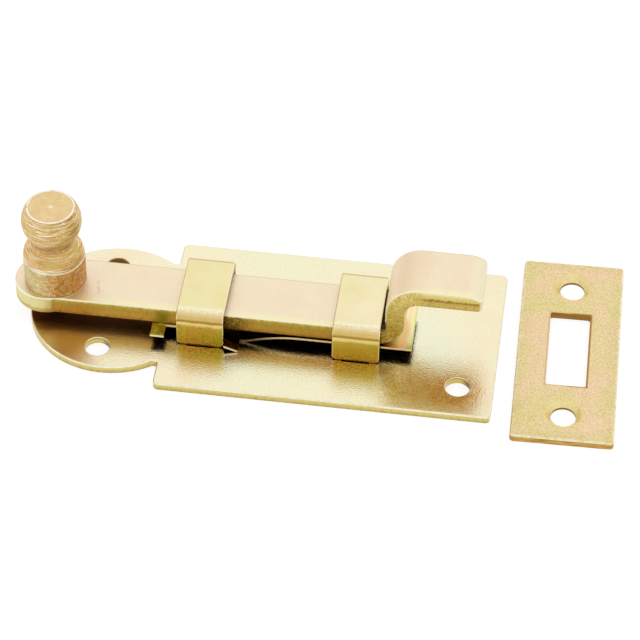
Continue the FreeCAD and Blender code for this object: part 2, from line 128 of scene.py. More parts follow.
def largest(tree, value, *others):
    """The largest of several values."""
    for other in others:
        value = work_out(tree, "MAXIMUM", value, other)
    return value


def between(tree, value, low, high, to_low=0.0, to_high=1.0):
    """Even change from one result at the low value to the other at the high value, and no further."""
    return add_node(tree, "ShaderNodeMapRange", {"Value": value, "From Min": low, "From Max": high,
                                                 "To Min": to_low, "To Max": to_high}).outputs[0]


def within(tree, value, low, full_from, full_to, high):
    """All along the middle of a range of values, fading to nothing at its low and high ends."""
    return product(tree, between(tree, value, low, full_from), between(tree, value, high, full_to))


def noise(tree, place, scale, detail, roughness=0.5, distortion=0.0):
    """An uneven pattern of values about a half."""
    return add_node(tree, "ShaderNodeTexNoise", {
        "Vector": place, "Scale": scale, "Detail": detail, "Roughness": roughness,
        "Distortion": distortion}).outputs[0]


def clouds(tree, place, scale, low, high, detail=3.0):
    """Soft patches: nothing where the noise is under the low value, all where it is over the high one."""
    return between(tree, noise(tree, place, scale, detail), low, high)


def near_to(tree, centre, inner, outer, stretch=(1, 1, 1)):
    """All inside the inner radius about a point in millimetres, nothing outside the outer one."""
    stretched = [share * part for share, part in zip(stretch, centre)]
    away = add_node(tree, "ShaderNodeVectorMath", {0: millimetres(tree, stretch), 1: stretched},
                    operation="DISTANCE")
    return between(tree, away.outputs["Value"], outer, inner)


def painted_gap_shade(tree, reach, open_share, closed_share):
    """Painted shade: all where the surface is closed in, nothing where it lies open for the reach in
    millimetres.
    """
    shelter = add_node(tree, "ShaderNodeAmbientOcclusion", {"Distance": reach / 1000}, samples=8)
    return between(tree, shelter.outputs["AO"], open_share, closed_share)


def tint(tree, share, under, over):
    """The under colour, covered by the over colour to the given share. Either can be a screen colour."""
    under, over = [screen_colour(*colour) if isinstance(colour, tuple) else colour
                   for colour in (under, over)]
    return add_node(tree, "ShaderNodeMix", {0: share, 6: under, 7: over}, data_type="RGBA").outputs[2]


def colour_bands(tree, value, bands):
    """A run of colours along a value, given as (value, screen colour)."""
    ramp = add_node(tree, "ShaderNodeValToRGB", {0: value})
    points = ramp.color_ramp.elements
    while len(points) < len(bands):
        points.new(0.5)
    for point, (position, colour) in zip(points, bands):
        point.position = position
        point.color = screen_colour(*colour)
    return ramp.outputs[0]


def edged(tree, top, near, far, wall):
    """Top colour on the flats and wall colour on upright walls, with the roundings between them in the
    near colour where they face the front or right, and in the far colour where they face away. Picking
    colour by the way a face turns gives lit and shaded copies of one finish: the near colour serves as a
    painted highlight, and where the far and wall colours are darker they are partly painted shade."""
    height = absolute(tree, facing(tree, "Z"))
    away = between(tree, work_out(tree, "SUBTRACT", facing(tree, "Y"), facing(tree, "X")), -0.2, 0.2)
    lower = tint(tree, between(tree, height, 0.1, 0.35), wall, tint(tree, away, near, far))
    return tint(tree, between(tree, height, 0.88, 0.99), lower, top)


def smeared(tree, stretch, scale, smooth, rough):
    """Roughness from one value to the other, in smears."""
    smears = clouds(tree, millimetres(tree, stretch), scale, 0.3, 0.8)
    return between(tree, smears, 0.0, 1.0, smooth, rough)


def metal(name, colour_of, roughness_of, relief_of, relief_depth):
    """A metal finish whose colour, roughness and relief come from functions that are given its node tree.
    The relief's depth is in millimetres."""
    material = bpy.data.materials.new(name)
    material.use_nodes = True
    tree = material.node_tree
    tree.nodes.clear()
    bump = add_node(tree, "ShaderNodeBump", {"Height": relief_of(tree), "Distance": relief_depth / 1000})
    shader = add_node(tree, "ShaderNodeBsdfPrincipled", {
        "Base Color": colour_of(tree), "Metallic": 1.0, "Roughness": roughness_of(tree),
        "Normal": bump.outputs[0]})
    add_node(tree, "ShaderNodeOutputMaterial", {"Surface": shader.outputs[0]})
    return material


def coat(node, material):
    """Gives the material to every slot of a piece."""
    for slot in nodes[node].material_slots:
        slot.material = material


def plate_top_colour(tree, place, x, y):
    """Cream with clouds of green and pink. Painted shade turns it warm and then dark towards the front of the
    bar, and near black in a band in front of the spring. Near the nose it has a pinkish brown patch, and an
    olive painted reflection of the crank."""
    green = clouds(tree, millimetres(tree, turn=(0, 0, 1.1)), 0.05, 0.4, 0.65)
    top = tint(tree, green, (244, 236, 202), (239, 238, 206))
    front_left = product(tree, between(tree, x, -2.0, -14.0), between(tree, y, -8.0, -14.0))
    ends = largest(tree, between(tree, x, -24.0, -32.0), between(tree, x, 36.0, 46.0), front_left)
    pink = product(tree, ends, clouds(tree, place, 0.1, 0.3, 0.6))
    top = tint(tree, pink, top, (245, 228, 196))
    cooler = product(tree, near_to(tree, (32.0, -3.0, sheet_top), 5.0, 12.0), 0.75)
    top = tint(tree, cooler, top, (237, 238, 212))
    grain = product(tree, clouds(tree, place, 3.0, 0.45, 0.7, 2.0), 0.22)
    top = tint(tree, grain, top, (226, 202, 148))

    in_front = product(tree, between(tree, y, -2.0, -6.0), between(tree, x, 32.0, 30.0))
    # Painted shade: where the bar and straps close the top in, it turns warm gold, with darker specks in it.
    warm_painted_shade = product(tree, in_front, painted_gap_shade(tree, 9.0, 0.9, 0.55),
                     between(tree, x, -24.0, -10.0, 0.45, 1.0))
    sandy = between(tree, noise(tree, place, 2.6, 3.0, 0.7), 0.35, 0.65, 0.35, 0.8)
    top = tint(tree, product(tree, warm_painted_shade, sandy), top, (208, 156, 60))
    specks = product(tree, warm_painted_shade, clouds(tree, place, 1.8, 0.46, 0.6, 2.0), 0.7)
    top = tint(tree, specks, top, (156, 106, 34))
    under_knob = product(tree, near_to(tree, (-42.0, -9.0, sheet_top), 6.0, 10.5), 0.6)
    top = tint(tree, under_knob, top, (204, 162, 84))

    pinkish_brown_patch = product(tree, near_to(tree, (39.8, -14.0, sheet_top), 3.0, 7.0, (1, 1.2, 1)),
                      clouds(tree, place, 0.9, 0.3, 0.6), 0.68)
    top = tint(tree, pinkish_brown_patch, top, (232, 174, 96))
    # The olive patch is a painted reflection of the crank.
    olive = product(tree, near_to(tree, (29.0, -12.5, sheet_top), 3.5, 8.0, (1, 0.9, 1)),
                    clouds(tree, place, 0.6, 0.2, 0.6), 0.55)
    top = tint(tree, olive, top, (222, 196, 96))
    gritty = largest(tree, pinkish_brown_patch, olive)
    grit = noise(tree, place, 3.0, 3.0)
    dark_grit = product(tree, gritty, between(tree, grit, 0.47, 0.38))
    top = tint(tree, dark_grit, top, (158, 112, 40))
    light_grit = product(tree, gritty, between(tree, grit, 0.54, 0.62))
    top = tint(tree, light_grit, top, (254, 242, 200))

    # Painted shade: near black where the bar closes the top in, and in a band in front of the spring.
    shaded = product(tree, in_front, painted_gap_shade(tree, 6.0, 0.52, 0.36))
    shade_before_spring = product(tree, within(tree, x, -6.5, -5.0, 12.0, 14.5), between(tree, y, -8.6, -7.2),
                            in_front, 0.8)
    return tint(tree, largest(tree, shaded, shade_before_spring), top, (30, 15, 3))


def plate_wall_colour(tree, place, z):
    """Gold in uneven layers along the cut, and pale as a painted highlight where the wall faces right."""
    layers = work_out(tree, "ADD", z, clouds(tree, place, 1.2, 0.2, 0.8))
    wall = colour_bands(tree, between(tree, layers, 0.0, 2.6), [
        (0.0, (150, 114, 48)), (0.25, (188, 166, 90)), (0.5, (208, 190, 116)), (0.75, (218, 202, 132)),
        (1.0, (196, 172, 98))])
    return tint(tree, between(tree, facing(tree, "X"), 0.6, 0.9), wall, (238, 232, 210))


def inside_hole(tree, centre, z):
    """All on the wall of a screw hole, from just below the plate's top face down."""
    return product(tree, near_to(tree, centre, 2.6, 2.8, (1, 1, 0)),
                   between(tree, z, sheet_top - 0.1, sheet_top - 0.3))


def plate_colour(tree):
    place = millimetres(tree)
    x, y, z = parts_of(tree, place)
    # The pale edge colour is rubbed plating and a painted highlight; the darker far colour is painted shade.
    wear_and_sheen = tint(tree, clouds(tree, place, 0.9, 0.3, 0.6), (238, 228, 188), (252, 248, 232))
    colour = edged(tree, plate_top_colour(tree, place, x, y), wear_and_sheen, (218, 196, 146),
                   plate_wall_colour(tree, place, z))
    # Painted shade in the screw holes: darker at the top of the wall and where it faces left, dark in the
    # rear hole.
    bore_shade = tint(tree, between(tree, z, 1.0, 1.4), (210, 188, 104), (150, 112, 46))
    bore_shade = tint(tree, between(tree, facing(tree, "X"), -0.2, -0.8), bore_shade, (110, 76, 26))
    front_holes = largest(tree, inside_hole(tree, screw_hole("nose_screws", -1), z),
                          inside_hole(tree, screw_hole("lobe_screws", -1), z))
    colour = tint(tree, front_holes, colour, bore_shade)
    rear_hole = inside_hole(tree, screw_hole("lobe_screws", 1), z)
    return tint(tree, rear_hole, colour, (110, 76, 22))


def sheet_roughness(tree):
    return smeared(tree, (1, 0.35, 1), 0.35, 0.18, 0.24)


def sheet_relief(tree):
    return noise(tree, millimetres(tree), 3.0, 3.0)


coat("base_plate", metal("bright_yellow_zinc", plate_colour, sheet_roughness, sheet_relief, 0.04))


# Guide straps
# Two alike, bent from a strip of the same 1.6 mm steel over the bar. Their tenons go through the
# plate and are peened flat behind it. Bending crazed the plating to a pale, speckled band, which also
# carries a painted highlight. The roundings at their ends are a painted highlight, brown painted shade
# where they face left near the top, and painted shade darkens the crease and the gaps where the straps
# meet the plate and the bar.
leg_outside = box_of("knob_end_strap")[1][1]


def wavered(tree, value, place, scale, detail, sway):
    """A value moved up and down by up to the sway, in patches."""
    pattern = noise(tree, place, scale, detail)
    return work_out(tree, "ADD", value, between(tree, pattern, 0.3, 0.7, -sway, sway))


def strap_top_colour(tree, place, x):
    """Cream and pale green, greener to the left, with a few worn patches."""
    green = clouds(tree, place, 0.12, 0.35, 0.7)
    top = tint(tree, green, (242, 229, 190), (232, 224, 168))
    leftward = product(tree, between(tree, x, 10.0, -6.0), 0.6)
    top = tint(tree, leftward, top, (234, 225, 168))
    worn = product(tree, clouds(tree, place, 0.25, 0.5, 0.8), 0.5)
    return tint(tree, worn, top, (236, 214, 154))


def strap_leg_colour(tree, place, x, z, up_leg):
    """Bands up the leg and round its bend, with a pale painted highlight line under the crease and painted
    shade in it, and olive and rusty patches and flecks below the crease.
    """
    leg = colour_bands(tree, between(tree, up_leg, 0.0, 12.0), [
        (0.14, (240, 180, 84)), (0.16, (206, 170, 64)), (0.38, (202, 170, 66)), (0.555, (208, 180, 76)),
        (0.585, (238, 220, 140)), (0.63, (252, 244, 190)), (0.66, (226, 200, 122)), (0.675, (190, 150, 76)),
        (0.7, (194, 156, 84)), (0.75, (212, 180, 108)), (0.83, (228, 202, 138)), (0.9, (238, 216, 160))])
    below = product(tree, between(tree, z, 7.4, 6.9), between(tree, x, 0.0, 10.0, 1.0, 0.4))
    olive = clouds(tree, place, 0.4, 0.42, 0.6)
    leg = tint(tree, product(tree, olive, below, 0.75), leg, (176, 172, 46))
    rust = clouds(tree, millimetres(tree, turn=(0.4, 0, 0.9)), 0.4, 0.5, 0.66)
    leg = tint(tree, product(tree, rust, below, 0.4), leg, (206, 146, 70))
    flecks = clouds(tree, place, 1.5, 0.55, 0.68, 2.0)
    leg = tint(tree, product(tree, flecks, below, 0.4), leg, (150, 112, 36))
    rear = between(tree, facing(tree, "Y"), 0.05, 0.3)
    return tint(tree, rear, leg, (206, 172, 112))


def strap_colour(tree):
    place = millimetres(tree)
    x, y, z = parts_of(tree, place)
    in_from_leg = work_out(tree, "SUBTRACT", leg_outside, absolute(tree, y))
    round_bend = work_out(tree, "ADD", z, in_from_leg)
    up_leg = wavered(tree, round_bend, place, 0.5, 2.0, 0.12)
    flat = between(tree, absolute(tree, facing(tree, "Z")), 0.93, 0.995)
    colour = tint(tree, flat, strap_leg_colour(tree, place, x, z, up_leg), strap_top_colour(tree, place, x))
    # The pale speckled band at the bend is crazed plating and a painted highlight.
    crazed = clouds(tree, millimetres(tree, stretch=(1, 1.6, 3)), 2.4, 0.44, 0.62)
    band = product(tree, within(tree, up_leg, 10.5, 11.1, 12.1, 12.7), between(tree, y, -4.0, -5.0),
                   crazed, 0.9)
    colour = tint(tree, band, colour, (255, 248, 228))

    right = facing(tree, "X")
    # The roundings at the strap's ends are a painted highlight, and brown painted shade where they face left
    # near the top.
    upper_left = product(tree, between(tree, right, 0.0, -0.2), between(tree, z, 9.0, 9.8))
    rim_colour = tint(tree, upper_left, (252, 244, 208), (202, 166, 104))
    end_on = absolute(tree, right)
    colour = tint(tree, within(tree, end_on, 0.15, 0.4, 0.8, 0.95), colour, rim_colour)
    cut = tint(tree, clouds(tree, place, 1.0, 0.4, 0.6), (120, 78, 28), (170, 126, 58))
    colour = tint(tree, between(tree, end_on, 0.93, 0.99), colour, cut)
    # Painted shade: near black in the gaps that open light can't reach, though not about the crease.
    off_crease = largest(tree, between(tree, z, 7.9, 7.7), between(tree, round_bend, 8.4, 8.6))
    gaps = product(tree, painted_gap_shade(tree, 1.4, 0.55, 0.3), off_crease)
    return tint(tree, gaps, colour, (44, 24, 6))


def crazed_relief(tree):
    return noise(tree, millimetres(tree), 1.6, 4.0)


strap_finish = metal("bent_yellow_zinc", strap_colour, sheet_roughness, crazed_relief, 0.02)
coat("knob_end_strap", strap_finish)
coat("nose_end_strap", strap_finish)


# Leaf spring
# A strip of 0.5 mm spring steel bowed under the bar, which it presses up against the straps.
# Its passivation came out in rainbow tints, strongest at the end that shows below the crank.
spring_low, spring_high = box_of("leaf_spring")
spring_end = spring_high[0] + 0.1
spring_front = spring_low[1] - 0.1


def rainbow_colour(tree, place, x, y):
    """Rainbow tints that run in from the end and, more slowly, from the front edge."""
    from_end = work_out(tree, "SUBTRACT", spring_end, x)
    from_front = product(tree, work_out(tree, "SUBTRACT", y, spring_front), 0.62)
    reach = work_out(tree, "DIVIDE", product(tree, from_end, from_front),
                     work_out(tree, "ADD", from_end, from_front))
    reach = wavered(tree, reach, place, 0.5, 2.0, 0.2)
    reach = work_out(tree, "ADD", reach, between(tree, y, -7.5, -2.5, 0.0, 0.3))
    rainbow = colour_bands(tree, between(tree, reach, 0.0, 2.5), [
        (0.03, (226, 190, 126)), (0.1, (206, 204, 96)), (0.2, (172, 204, 78)), (0.33, (196, 220, 124)),
        (0.4, (246, 204, 190)), (0.46, (244, 160, 164)), (0.54, (242, 146, 98)), (0.63, (242, 180, 80)),
        (0.75, (246, 216, 112)), (0.92, (252, 240, 160))])
    faded = product(tree, between(tree, y, -7.0, -4.0, 0.0, 0.75),
                    between(tree, x, spring_end, spring_end - 0.4))
    return tint(tree, faded, rainbow, (252, 240, 184))


def spring_colour(tree):
    place = millimetres(tree)
    x, y = parts_of(tree, place)[:2]
    # Painted shade: the spring turns darker gold and then near black where it runs in under the bar.
    under_bar = between(tree, x, 25.2, 23.8)
    top = tint(tree, under_bar, rainbow_colour(tree, place, x, y), (150, 104, 36))
    shade_under_bar = product(tree, painted_gap_shade(tree, 4.0, 0.8, 0.4), under_bar)
    top = tint(tree, shade_under_bar, top, (50, 28, 8))
    left_ear = colour_bands(tree, noise(tree, place, 0.9, 3.0), [
        (0.36, (190, 146, 74)), (0.44, (206, 182, 92)), (0.52, (162, 178, 62)), (0.62, (220, 208, 128))])
    top = tint(tree, between(tree, x, -16.0, -16.8), top, left_ear)
    # The spring's edges and walls are pale as a painted highlight.
    pale = (250, 236, 200)
    colour = edged(tree, top, pale, pale, (255, 244, 214))
    # Painted shade: the ear right of the knob-end strap's leg is dark brown, as it lies in the bar's shadow.
    right_ear = product(tree, within(tree, x, -8.0, -7.0, -3.5, -2.0), between(tree, y, -5.0, -6.5),
                        between(tree, facing(tree, "Z"), 0.35, 0.5))
    ear_shade = tint(tree, clouds(tree, place, 1.2, 0.4, 0.6), (40, 20, 6), (84, 52, 20))
    colour = tint(tree, right_ear, colour, ear_shade)
    # Painted shade on the spring's underside.
    underneath = between(tree, facing(tree, "Z"), -0.5, -0.8)
    return tint(tree, underneath, colour, (60, 34, 10))


coat("leaf_spring", metal("tinted_spring_steel", spring_colour, sheet_roughness, sheet_relief, 0.01))


# Bolt bar
# One length of 12 x 4 mm flat stock, rounded at the knob end and cranked up to the nose.
# It is satin, scuffed along its front edge by the straps, where a painted highlight runs too, and its cut
# sides are olive gold, darker partly as painted shade. Painted shade darkens its underside.
# The nose's sides show the shear's cut: smooth above, torn below.
bar_thickness = 4.0
bar_bottom = box_of("bolt_bar")[0][2]
bar_top = bar_bottom + bar_thickness
nose_top = box_of("bolt_bar")[1][2]
nose_bottom = nose_top - bar_thickness
shear_line = 18.4
bend_inside_radius = 2.5
bend_x = 31.4
bend_z = nose_bottom - bend_inside_radius
dent_x = -33.7


def bar_top_colour(tree, place, x, y, z):
    """Pinkish cream with a fine grain, paler where the front edge is worn and carries a painted highlight,
    and with a painted highlight on the nose's end.
    """
    pink = clouds(tree, place, 0.15, 0.35, 0.7)
    top = tint(tree, pink, (245, 231, 202), (243, 224, 196))
    grain = product(tree, clouds(tree, place, 2.8, 0.35, 0.7, 2.0), 0.34)
    top = tint(tree, grain, top, (236, 212, 180))
    # The pale band along the front edge is wear from the straps and a painted highlight.
    worn = product(tree, between(tree, y, -4.0, -5.4), clouds(tree, place, 0.8, 0.2, 0.5), 0.85)
    top = tint(tree, worn, top, (248, 240, 190))
    # Painted highlight on the nose's rounded end.
    nose_end_highlight = product(tree, between(tree, x, 40.5, 42.5), 0.8)
    top = tint(tree, nose_end_highlight, top, (250, 240, 208))
    bend = product(tree, between(tree, x, 34.0, 29.0), between(tree, z, 9.0, 10.0), 0.7)
    return tint(tree, bend, top, (236, 212, 176))


def bar_side_colour(tree, place, x, level):
    """Olive gold with streaks and spots of rust, darker towards the bottom, speckled with painted shade on
    the right of the knob-end strap and green on its left."""
    side = colour_bands(tree, between(tree, level, bar_bottom - 0.05, bar_top - 0.05), [
        (0.0, (100, 64, 16)), (0.12, (176, 130, 50)), (0.3, (206, 156, 70)), (0.5, (200, 160, 68)),
        (0.62, (184, 154, 66)), (0.85, (198, 174, 84)), (1.0, (226, 210, 134))])
    streaks = clouds(tree, millimetres(tree, stretch=(5, 1, 0.5), turn=(0, 0.25, 0)), 1.0, 0.38, 0.64)
    side = tint(tree, product(tree, streaks, 0.45), side, (216, 192, 100))
    rust = clouds(tree, place, 1.3, 0.62, 0.72, 1.0)
    side = tint(tree, product(tree, rust, 0.5), side, (176, 108, 40))
    # Painted shade: dark specks on the side to the right of the knob-end strap.
    side_shade_specks = product(tree, within(tree, x, -8.0, -7.0, -4.5, -0.5),
                     clouds(tree, place, 2.2, 0.35, 0.55, 2.0), 0.8)
    side = tint(tree, side_shade_specks, side, (124, 88, 30))
    green = product(tree, near_to(tree, (-19.5, -6.5, 6.3), 0.6, 1.9, (1, 1, 0.7)), 0.75)
    return tint(tree, green, side, (146, 142, 38))


def nose_side_colour(tree, place, z):
    """Bands up the shear's cut, which is pitted below."""
    ragged = wavered(tree, z, place, 1.8, 4.0, 0.28)
    sheared = colour_bands(tree, between(tree, ragged, nose_bottom - 0.25, nose_top + 0.05), [
        (0.02, (140, 94, 36)), (0.08, (196, 162, 80)), (0.2, (216, 192, 110)), (0.42, (208, 184, 100)),
        (0.5, (178, 142, 60)), (0.57, (160, 124, 46)), (0.61, (216, 198, 118)), (0.8, (230, 216, 138)),
        (0.92, (240, 228, 170))])
    pitted = product(tree, clouds(tree, place, 2.4, 0.5, 0.62, 2.0),
                     between(tree, z, shear_line + 0.2, shear_line - 0.2), 0.5)
    return tint(tree, pitted, sheared, (176, 132, 58))


def distance(tree, one_way, other_way):
    """The straight distance between two points, from how far apart they are in two directions."""
    squares = work_out(tree, "ADD", product(tree, one_way, one_way), product(tree, other_way, other_way))
    return work_out(tree, "SQRT", squares)


def place_of(tree, x, y, z=0.0):
    """A place from its three parts."""
    return add_node(tree, "ShaderNodeCombineXYZ", {0: x, 1: y, 2: z}).outputs[0]


def crank_side_colour(tree, x, z):
    """Fine folds that fan out from the middle of the upper bend, with painted shade in their creases, lighter
    above.
    """
    out_x = work_out(tree, "SUBTRACT", bend_x, x)
    out_z = work_out(tree, "SUBTRACT", z, bend_z)
    turned = work_out(tree, "ARCTAN2", out_x, out_z)
    fan = place_of(tree, product(tree, turned, 30.0), product(tree, distance(tree, out_x, out_z), 0.8))
    folds = noise(tree, fan, 1.0, 4.0, 0.6, 0.3)
    lighter = between(tree, z, 8.0, 18.0, -0.05, 0.06)
    return colour_bands(tree, work_out(tree, "ADD", folds, lighter), [
        (0.32, (150, 114, 42)), (0.43, (192, 164, 76)), (0.53, (212, 190, 104)), (0.66, (238, 224, 156))])


def bar_under_colour(tree, x, y, z):
    """Painted shade: dark under the length of the bar, with a warm front edge to the left, and lighter
    under the nose.
    """
    under = tint(tree, between(tree, z, 12.0, 14.0), (104, 62, 16), (204, 168, 72))
    front_edge = product(tree, between(tree, y, -3.8, -4.8), between(tree, x, -8.0, -20.0))
    return tint(tree, front_edge, under, (236, 200, 120))


def bar_colour(tree):
    place = millimetres(tree)
    x, y, z = parts_of(tree, place)
    level = wavered(tree, z, place, 1.2, 3.0, 0.4)
    side = bar_side_colour(tree, place, x, level)
    side = tint(tree, between(tree, x, 28.5, 32.0), side, nose_side_colour(tree, place, z))
    side = tint(tree, within(tree, x, 23.0, 25.2, 30.0, 33.0), side, crank_side_colour(tree, x, z))
    upright = between(tree, absolute(tree, facing(tree, "Z")), 0.3, 0.05)
    left_end = product(tree, between(tree, x, -41.8, -42.4), upright)
    end_colour = tint(tree, between(tree, level, 5.8, 5.4), (226, 216, 154), (206, 176, 100))
    side = tint(tree, left_end, side, end_colour)

    across = facing(tree, "Y")
    sideways = absolute(tree, across)
    # The sides differ from the top partly as painted shade.
    walls = largest(tree, between(tree, sideways, 0.75, 0.97), left_end)
    colour = tint(tree, walls, bar_top_colour(tree, place, x, y, z), side)
    # The roundings along the sides are a painted highlight where they face the front, and brown painted shade
    # where they face the rear.
    rim = product(tree, within(tree, sideways, 0.12, 0.35, 0.7, 0.92),
                  work_out(tree, "SUBTRACT", 1.0, left_end))
    rim_colour = tint(tree, between(tree, across, -0.1, 0.1), (252, 246, 222), (206, 170, 124))
    colour = tint(tree, rim, colour, rim_colour)

    across_dent = work_out(tree, "ADD", product(tree, y, 0.25), work_out(tree, "SUBTRACT", x, dent_x))
    dent = product(tree, near_to(tree, (-33.2, -1.6, 8.35), 1.4, 2.2),
                   between(tree, absolute(tree, across_dent), 0.45, 0.1),
                   clouds(tree, place, 1.4, 0.3, 0.7), 0.6)
    colour = tint(tree, dent, colour, (216, 170, 138))
    underneath = between(tree, facing(tree, "Z"), -0.6, -0.9)
    return tint(tree, underneath, colour, bar_under_colour(tree, x, y, z))


def bar_roughness(tree):
    return smeared(tree, (0.4, 1, 1), 0.5, 0.38, 0.46)


def bar_relief(tree):
    return noise(tree, millimetres(tree, stretch=(1.6, 0.5, 0.5)), 1.8, 6.0)


coat("bolt_bar", metal("satin_yellow_zinc", bar_colour, bar_roughness, bar_relief, 0.03))


# Pull knob
# Turned from round steel and riveted through the bar. The tool left fine rings round the ball and
# the shoulder, and handling has rubbed the plating white along them. The foot is mottled.
knob_low, knob_high = box_of("pull_knob")
knob_x = (knob_low[0] + knob_high[0]) / 2
knob_top = knob_high[2]
foot_height = 6.6
foot_top = bar_top + foot_height
flat_edge = 4.5


def knob_rings(tree):
    """Broken rings about the knob's axis, along its height and out from the middle of its flat top."""
    x, y, z = parts_of(tree, millimetres(tree))
    out_x = work_out(tree, "SUBTRACT", x, knob_x)
    place = place_of(tree, product(tree, out_x, 0.35), product(tree, y, 0.35), product(tree, z, 5.0))
    outward = product(tree, distance(tree, out_x, y), 5.0)
    rings = add_node(tree, "ShaderNodeTexNoise", {"Vector": place, "W": outward, "Scale": 1.0, "Detail": 2.0},
                     noise_dimensions="4D")
    return rings.outputs[0]


def turned_colour(tree, place, z):
    """White to brown rings, olive in patches, yellower on the shoulder, and brown painted shade at the waist
    under the ball.
    """
    turned = colour_bands(tree, knob_rings(tree), [
        (0.34, (170, 112, 46)), (0.42, (206, 156, 84)), (0.5, (222, 184, 118)), (0.57, (234, 208, 154)),
        (0.64, (254, 250, 240))])
    olive = product(tree, clouds(tree, place, 0.25, 0.4, 0.65), 0.4)
    turned = tint(tree, olive, turned, (220, 200, 124))
    shoulder = product(tree, within(tree, z, 15.6, 16.6, 18.5, 19.5), clouds(tree, place, 0.3, 0.3, 0.5), 0.6)
    shoulder_colour = tint(tree, clouds(tree, place, 0.35, 0.45, 0.6), (220, 174, 96), (206, 182, 100))
    turned = tint(tree, shoulder, turned, shoulder_colour)
    # Painted shade at the waist under the ball.
    waist = product(tree, within(tree, z, 18.4, 19.2, 19.9, 20.9), 0.65)
    return tint(tree, waist, turned, (158, 104, 44))


def foot_colour(tree, place, x):
    """Mottled, brown to the right and grey to the left."""
    mottle = noise(tree, place, 1.1, 5.0, 0.7)
    brown = colour_bands(tree, mottle, [
        (0.32, (156, 98, 38)), (0.44, (196, 140, 68)), (0.55, (212, 164, 94)), (0.68, (228, 196, 136))])
    grey = colour_bands(tree, mottle, [
        (0.32, (182, 150, 86)), (0.45, (204, 184, 124)), (0.56, (212, 196, 140)), (0.68, (232, 224, 184))])
    leftward = between(tree, work_out(tree, "ADD", x, product(tree, mottle, 6.0)), -38.2, -41.6)
    return tint(tree, leftward, brown, grey)


def knob_colour(tree):
    place = millimetres(tree)
    x, y, z = parts_of(tree, place)
    off_foot = between(tree, z, foot_top + 0.1, foot_top - 0.1)
    colour = tint(tree, off_foot, turned_colour(tree, place, z), foot_colour(tree, place, x))
    specks = clouds(tree, millimetres(tree, stretch=(1, 1, 0.7)), 3.2, 0.62, 0.7, 2.0)
    colour = tint(tree, product(tree, specks, 0.7), colour, (254, 250, 238))
    ring = product(tree, within(tree, z, foot_top - 0.2, foot_top - 0.05, foot_top + 0.05, foot_top + 0.2),
                   clouds(tree, place, 0.9, 0.3, 0.5), 0.8)
    colour = tint(tree, ring, colour, (252, 248, 236))

    out = distance(tree, work_out(tree, "SUBTRACT", x, knob_x), y)
    flat_top = product(tree, between(tree, z, knob_top - 0.35, knob_top - 0.15),
                       between(tree, out, flat_edge + 0.05, flat_edge - 0.15))
    cap = tint(tree, clouds(tree, place, 0.6, 0.3, 0.7), (236, 208, 156), (226, 196, 140))
    cap = tint(tree, between(tree, out, 0.7, 0.1), cap, (248, 236, 208))
    cap = tint(tree, product(tree, specks, 0.5), cap, (254, 246, 222))
    colour = tint(tree, flat_top, colour, cap)
    rim = product(tree, between(tree, z, knob_top - 0.45, knob_top - 0.35),
                  within(tree, out, flat_edge - 0.08, flat_edge + 0.02, flat_edge + 0.22, flat_edge + 0.35),
                  clouds(tree, place, 1.1, 0.3, 0.5))
    colour = tint(tree, rim, colour, (254, 252, 244))

    # Painted shade in a line where the foot meets the bar.
    foot_contact_shade = within(tree, z, bar_top - 0.05, bar_top + 0.05, bar_top + 0.4, bar_top + 0.55)
    colour = tint(tree, foot_contact_shade, colour, (170, 124, 66))
    pale_line = within(tree, z, bar_top - 0.05, bar_top + 0.05, bar_top + 0.2, bar_top + 0.3)
    colour = tint(tree, pale_line, colour, (246, 238, 214))
    # Painted shade on the shank inside the bar.
    in_bar = between(tree, z, bar_top - 0.05, bar_top - 0.15)
    return tint(tree, in_bar, colour, (60, 34, 10))


def knob_roughness(tree):
    return between(tree, knob_rings(tree), 0.3, 0.7, 0.36, 0.5)


coat("pull_knob", metal("turned_yellow_zinc", knob_colour, knob_roughness, knob_rings, 0.03))


# Striker plate
# The loose keeper, stamped from the same sheet, with a slot for the nose and two countersunk holes.
# Its passivation is matt and grainy, pink in places and yellow-green in others.
striker_turn = radians(1.09)
striker_middle = Matrix.Rotation(-striker_turn, 3, "Z") @ Vector(mounts["striker_slot"]["pos_m"]) * 1000
striker_half_width = 10.15
striker_half_length = 24.5
slot_half_width = 4.0
slot_half_length = 10.0


